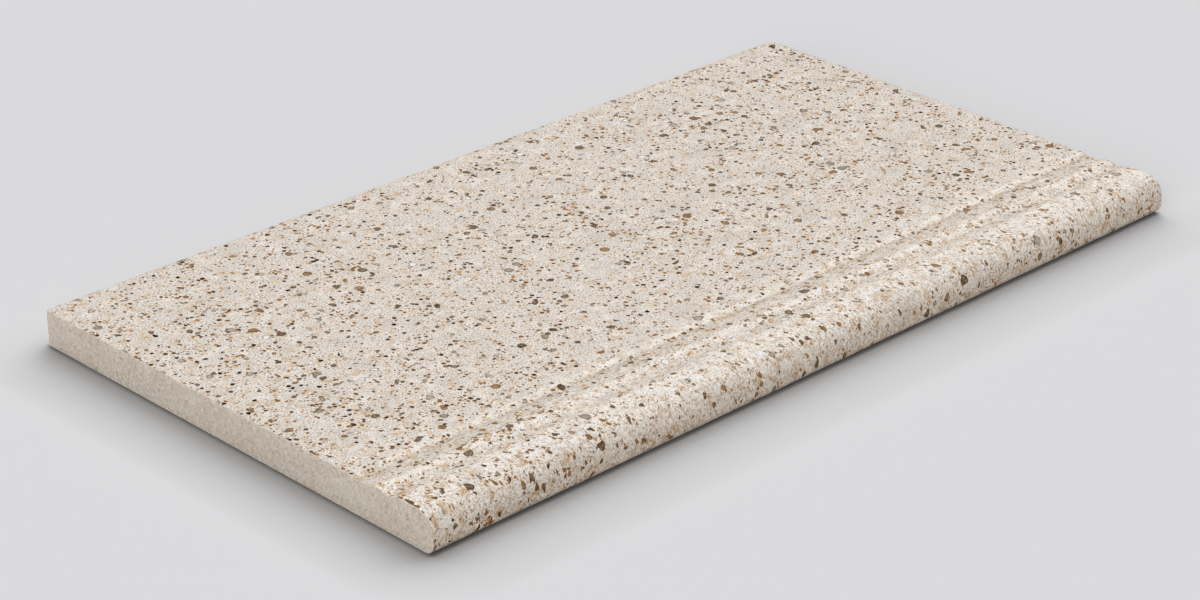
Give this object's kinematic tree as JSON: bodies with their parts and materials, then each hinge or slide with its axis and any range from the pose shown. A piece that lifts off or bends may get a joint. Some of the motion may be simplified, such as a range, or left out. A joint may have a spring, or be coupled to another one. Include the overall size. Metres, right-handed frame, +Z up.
{
  "type": "stair tread tile",
  "caption": "Rectangular one-piece porcelain stair tread tile with a rounded front nosing, shallow anti-slip steps behind it and a speckled stone-look face.",
  "frame": {"origin": "middle of the flat underside, at the centre of the tile's outline", "axes": "+X along the tile's length, +Y from the nosing to the back edge, +Z up out of the walked-on face"},
  "size_m": [0.6, 0.33, 0.0234],
  "materials": {
    "porcelain": "unglazed matt, printed speckled stone look on the face and nosing, plain clay body at the ends and back"
  },
  "bodies": {
    "root": {"tread_tile": "porcelain"}
  },
  "joints": []
}
